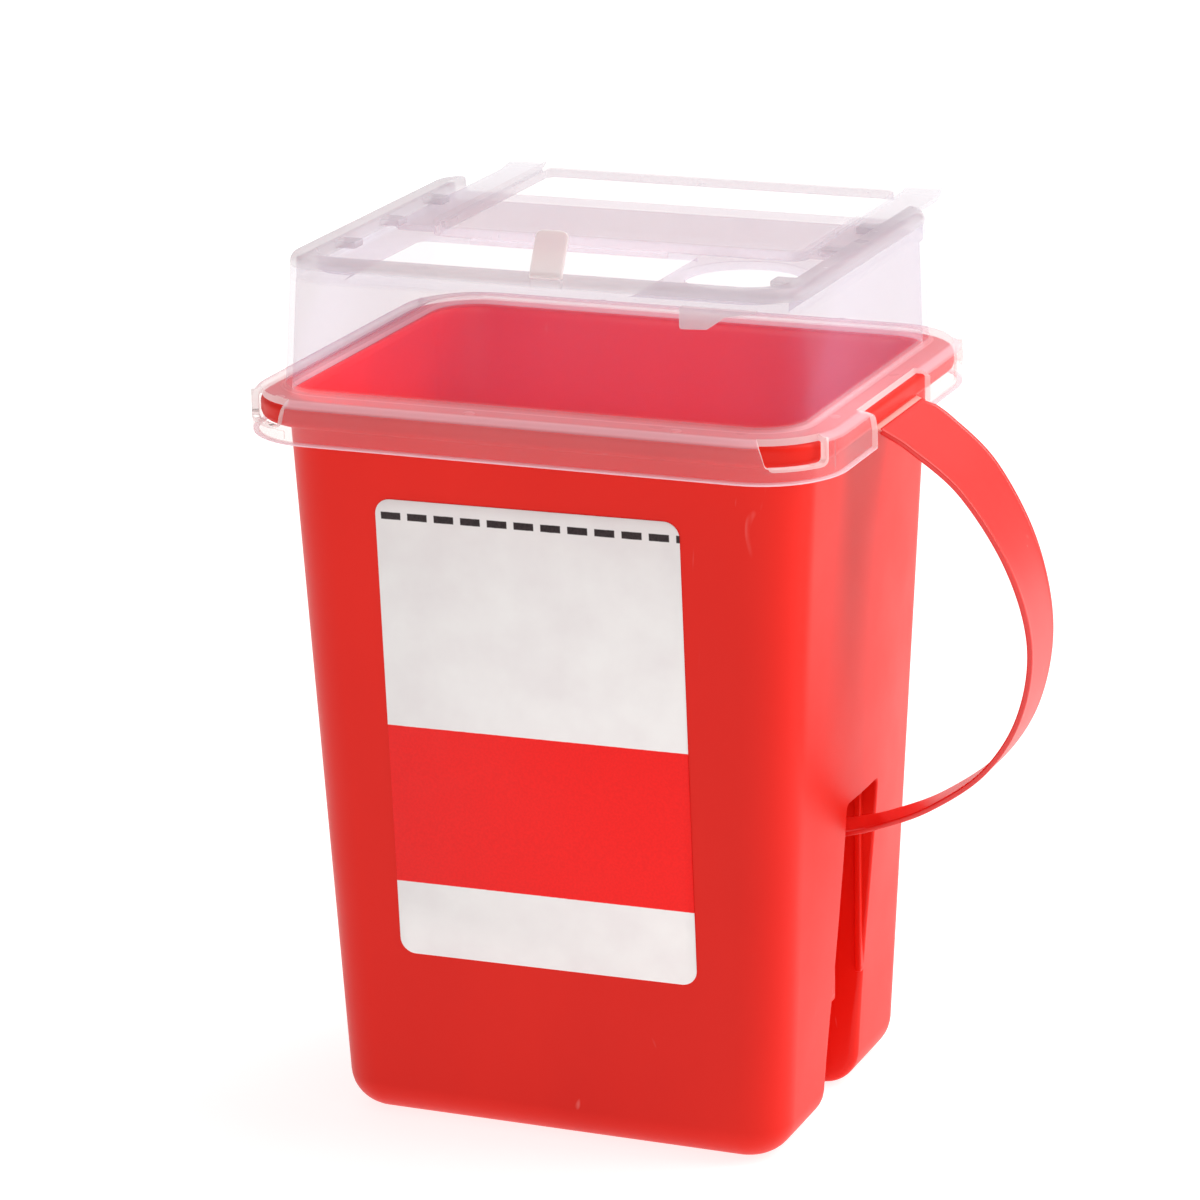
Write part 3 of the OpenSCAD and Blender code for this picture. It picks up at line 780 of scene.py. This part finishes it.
# curved patches of the skirt cut away, given along the outline of the skirt
def skirt_point(s, off):
    """Point of the skirt's outline at distance s from the middle of its right side, towards the rear, moved outwards by off."""
    hx, hy, r = 58.0, 47.15, 15.9
    side, arc, top = hy - r, r * math.pi / 2, hx - r
    q = abs(s)
    sign = 1 if s >= 0 else -1
    if q <= side:
        p, nn = (hx, q), (1, 0)
    elif q <= side + arc:
        a = (q - side) / r
        p, nn = (hx - r + r * math.cos(a), hy - r + r * math.sin(a)), (math.cos(a), math.sin(a))
    else:
        p, nn = (top - (q - side - arc), hy), (0, 1)
    return (p[0] + nn[0] * off, sign * (p[1] + nn[1] * off))


def patch(name, corners, radii, off0, off1, mirror=False, step=0.9):
    """Cutter for a rounded patch of the skirt. corners are (distance along the skirt, height)."""
    poly = np.array(round_poly(corners, radii, 6))
    ss = sorted(list(poly[:, 0]) + list(np.arange(poly[:, 0].min(), poly[:, 0].max(), step)))
    ss = [ss[0]] + [b for a, b in zip(ss, ss[1:]) if b - a > 0.03]
    edge = list(map(tuple, poly)) + [tuple(poly[0])]
    lows, highs = [], []
    for q in ss:
        zs = []
        for (a0, b0), (a1, b1) in zip(edge, edge[1:]):
            if abs(a1 - a0) < 1e-9:
                if abs(q - a0) < 1e-6:
                    zs += [b0, b1]
            elif min(a0, a1) - 1e-9 <= q <= max(a0, a1) + 1e-9:
                zs.append(b0 + (b1 - b0) * (q - a0) / (a1 - a0))
        lows.append(min(zs))
        highs.append(max(max(zs), min(zs) + 0.02))
    verts, faces = [], []
    for off in (off0, off1):
        for row in (lows, highs):
            for q, z in zip(ss, row):
                x, y = skirt_point(q, off)
                verts.append((-x if mirror else x, y, z))
    n = len(ss)
    A, B, C, D = 0, n, 2 * n, 3 * n          # inner low, inner high, outer low, outer high
    for i in range(n - 1):
        faces += [(A + i, B + i, B + i + 1, A + i + 1), (C + i, C + i + 1, D + i + 1, D + i),
                  (A + i, A + i + 1, C + i + 1, C + i), (B + i, D + i, D + i + 1, B + i + 1)]
    faces += [(A, C, D, B), (A + n - 1, B + n - 1, D + n - 1, C + n - 1)]
    return obj_from(name, verts, faces)


def flip(pts):
    return [(-a, b) for a, b in pts]


window = [(-50.6, 138.4), (-51.4, 141.0), (-52.7, 144.6), (-38.7, 144.6), (-38.7, 138.4)]
for mirror in (False, True):
    cuts.append(edge_faces(patch("window", window, [0.9, 2.5, 0.1, 0.1, 1.4], -1.9, 3.0, mirror)))
    cuts.append(edge_faces(patch("window", flip(window), [0.9, 2.5, 0.1, 0.1, 1.4], -1.9, 3.0, mirror)))
# the skirt's front piece ends in a rounded corner at the strap, the rear piece in a small inner radius
cuts.append(edge_faces(patch("strap_gap", [(-15.4, 130.0), (-15.4, 138.6), (-16.7, 141.9), (-20.4, 143.62), (-20.4, 146.0), (12.0, 146.0), (12.0, 143.6), (14.6, 141.5), (14.6, 130.0)],
                             [0.1, 2.4, 3.0, 0.1, 0.1, 0.1, 0.3, 0.8, 0.1], -2.5, 4.0)))
boolean(lid, cuts, "DIFFERENCE")
# thin raised frame round each window, all in the whiter edge material: a painted highlight line round each window
wide = [(-49.9, 137.8), (-50.8, 140.9), (-51.9, 143.0), (-38.1, 143.0), (-38.1, 137.8)]
frames = []
for mirror in (False, True):
    for turn in (False, True):
        w1, w2 = (flip(wide), flip(window)) if turn else (wide, window)
        fr = edge_faces(patch("frame", w1, [1.3, 2.5, 0.3, 0.3, 1.8], -1.3, 0.12, mirror))
        frames.append(boolean(fr, [edge_faces(patch("hole", w2, [0.9, 2.5, 0.1, 0.1, 1.4], -3.0, 3.0, mirror))], "DIFFERENCE"))
boolean(lid, frames, "UNION")
boolean(lid, [patch("inner_rib", c if sg > 0 else flip(c), 0.2, -1.45, -1.0, m) for c, m, sg in RIBS], "UNION")
finish_mesh(lid, 36)
piece(lid, "lid", mat_lid, "lid", mat_edge_highlight)
for m in ("a", "b"):
    bpy.data.materials.remove(bpy.data.materials["mark_" + m])

# ---------------------------------------------------------------- sliding cover
CL, CR, CF, CB = -36.2, 38.8, -1.5, 56.0
cw, cd, ccx, ccy = CR - CL, CB - CF, (CL + CR) / 2, (CF + CB) / 2


def cov(z, i):
    return ring(cw - 2 * i, cd - 2 * i, max(3 - i, 0.5), z, 0, ccx, ccy, n=8, m=(4, 4, 4, 4))


C = [cov(167.3, 2.0), cov(167.3, 1.6), cov(167.2, 1.35), cov(166.9, 1.2), cov(165.5, 1.2), cov(165.35, 1.1), cov(165.3, 0.9), cov(165.3, 0.3), cov(165.35, 0.1), cov(165.5, 0.0), cov(167.8, 0.0)]
for a in (25, 45, 65, 90):
    C.append(cov(168.5 - 0.7 * (1 - math.sin(math.radians(a))), 0.7 * (1 - math.cos(math.radians(a)))))
cover = loft("slide_cover", C)


def runner(sign):
    edge = [(37.8 if sign > 0 else 35.2, 2.0), (44.2, 2.0), (45.6, 4.0), (45.6, 57.4), (44.9, 61.5), (43.3, 63.95), (38.4, 62.7), (37.9, 58.0), (37.8 if sign > 0 else 35.2, 53.0)]
    return round_poly([(sign * x, y) for x, y in edge], [0, 0.5, 0.6, 0.8, 0.9, 1.2, 1.0, 0.6, 0], 4)


def bent(x, y, t):
    """Height t of the runner at y, bent upwards behind the lid."""
    y0, a = 54.5, math.radians(15)
    z0 = 165.3
    if y <= y0:
        return (x, y, z0 + t)
    q = (y - y0)
    s = min(q / 3.0, 1.0)
    ang = a * s
    rise = (a * q * q / 6.0) if q < 3 else (a * 1.5 + (q - 3) * math.tan(a))
    return (x, y - t * math.sin(ang), z0 + rise + t * math.cos(ang))


for sign in (1, -1):
    pl = runner(sign)
    dense = []
    for (x0, y0), (x1, y1) in zip(pl, pl[1:] + pl[:1]):
        nseg = max(1, int(math.hypot(x1 - x0, y1 - y0) / 1.5)) if max(y0, y1) > 53.5 else 1
        for i in range(nseg):
            dense.append((x0 + (x1 - x0) * i / nseg, y0 + (y1 - y0) * i / nseg))
    # outline as rows across, so that the bent part has small faces
    ys = sorted(set([round(y, 3) for _, y in dense]))
    rows = []
    for y in ys:
        xs = []
        loop = dense + dense[:1]
        for (xa, ya), (xb, yb) in zip(loop, loop[1:]):
            if abs(ya - yb) < 1e-9:
                if abs(y - ya) < 1e-6:
                    xs += [xa, xb]
            elif min(ya, yb) - 1e-9 <= y <= max(ya, yb) + 1e-9:
                xs.append(xa + (xb - xa) * (y - ya) / (yb - ya))
        if xs and max(xs) - min(xs) > 0.02:
            rows.append((y, min(xs), max(xs)))
    rr = []
    q = 0.25
    for y, xa, xb in rows:
        q = min(0.25, (xb - xa) / 3)
        pr = [(xa, q), (xa, 1.1 - q), (xa + 0.3 * q, 1.1 - 0.3 * q), (xa + q, 1.1), (xb - q, 1.1), (xb - 0.3 * q, 1.1 - 0.3 * q), (xb, 1.1 - q), (xb, q), (xb - 0.3 * q, 0.3 * q), (xb - q, 0), (xa + q, 0), (xa + 0.3 * q, 0.3 * q)]
        rr.append([bent(x, y, t) for x, t in pr])
    boolean(cover, [loft("runner", rr)], "UNION")
boolean(cover, [box("ridge", -28, 12, -1.4, -0.4, 164.1, 165.7, 0.3, 0.4)], "UNION")
finish_mesh(cover, 36)
piece(cover, "cover", mat_cover, "slide_cover")

# ---------------------------------------------------------------- lock tab
lean = math.radians(28)
TH = (2.85, -37.6, 168.3)


def tongue(a, c, t):
    y, z = -t, c
    return (TH[0] + a, TH[1] + y * math.cos(lean) + z * math.sin(lean), TH[2] - y * math.sin(lean) + z * math.cos(lean))


tab = prism("lock_tab", [(-3.15, -0.2), (3.15, -0.2), (3.15, 8.5), (-3.15, 8.5)], [0.3, 0.3, 1.6, 1.6], tongue, -0.5, 0.5, 0.28, 7)
knuckle = []
for x, r in ((-3.15, 0.3), (-3.0, 0.47), (-2.8, 0.5), (2.8, 0.5), (3.0, 0.47), (3.15, 0.3)):
    knuckle.append([(TH[0] + x, TH[1] + r * math.cos(2 * math.pi * i / 20), TH[2] + r * math.sin(2 * math.pi * i / 20)) for i in range(20)])
boolean(tab, [loft("knuckle", knuckle)], "UNION")
finish_mesh(tab, 40)
piece(tab, "tab", mat_tab, "lock_tab")

# ---------------------------------------------------------------- floor, light, camera
bpy.ops.mesh.primitive_plane_add(size=8, location=(0, 0, 0))
floor = bpy.context.object
floor.name = "floor"
k = Nodes("floor")
b = k.add("ShaderNodeBsdfPrincipled")
b.inputs["Base Color"].default_value = (0.40, 0.40, 0.40, 1)
b.inputs["Roughness"].default_value = 0.7
b.inputs["Specular IOR Level"].default_value = 0.2
b.inputs["Emission Color"].default_value = (1.0, 0.995, 0.99, 1)
b.inputs["Emission Strength"].default_value = 0.80
k.link(b.outputs[0], k.out.inputs["Surface"])
floor.data.materials.append(k.mat)
floor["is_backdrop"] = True

world = bpy.data.worlds.new("world")
scene.world = world
world.use_nodes = True
bg = world.node_tree.nodes["Background"]
bg.inputs["Color"].default_value = (1.0, 0.995, 0.99, 1)
bg.inputs["Strength"].default_value = 0.42


def lamp(kind, name, loc, target, size, power, color=(1, 1, 1)):
    ld = bpy.data.lights.new(name, kind)
    ld.energy, ld.color = power, color
    if kind == "AREA":
        ld.shape, ld.size = "SQUARE", size
    else:
        ld.angle = size
    ob = bpy.data.objects.new(name, ld)
    scene.collection.objects.link(ob)
    ob.location = loc
    ob.rotation_mode = "QUATERNION"
    ob.rotation_quaternion = (Vector(target) - Vector(loc)).to_track_quat("-Z", "Y")
    ob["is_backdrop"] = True
    return ob


lamp("SUN", "overhead", (0.55, 0.60, 1.4), (0, 0, 0), math.radians(50), 2.1, (1, 0.985, 0.96))
lamp("AREA", "key", (0.85, 0.28, 0.55), (0, 0, 0.08), 0.6, 5.8, (1, 0.965, 0.90))
lamp("AREA", "fill", (0.38, -1.05, 0.10), (0, 0, 0.05), 0.8, 1.6)
inside = lamp("AREA", "inside", (0, -0.026, 0.1565), (0, 0.040, 0.095), 0.035, 0.037)
inside.data.shape, inside.data.size, inside.data.size_y = "RECTANGLE", 0.085, 0.02
inside.visible_camera = False

S = 116 / 118
az, el, ro = math.radians(22.39), math.radians(16.74), math.radians(-1.09)
fwd = Vector((-math.sin(az) * math.cos(el), math.cos(az) * math.cos(el), -math.sin(el)))
right = Vector((math.cos(az), math.sin(az), 0))
up = right.cross(fwd)
R = math.cos(ro) * right + math.sin(ro) * up
U = -math.sin(ro) * right + math.cos(ro) * up
eye = (Vector((0, 0, 90 * S)) - 3.26 * S * R + 8.01 * S * U - 970.03 * S * fwd) * MM
cam_data = bpy.data.cameras.new("camera")
cam_data.sensor_width = 36
cam_data.lens = 5002.67 / 1200 * 36
cam_data.clip_start, cam_data.clip_end = 0.05, 50
cam = bpy.data.objects.new("camera", cam_data)
scene.collection.objects.link(cam)
cam.matrix_world = Matrix.Translation(eye) @ Matrix((R, U, -fwd)).transposed().to_4x4()
scene.camera = cam

scene.view_settings.view_transform = "Standard"
scene.view_settings.look = "None"
scene.view_settings.exposure = 0.0
scene.cycles.max_bounces = 10
scene.cycles.transparent_max_bounces = 24

lo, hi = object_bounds()
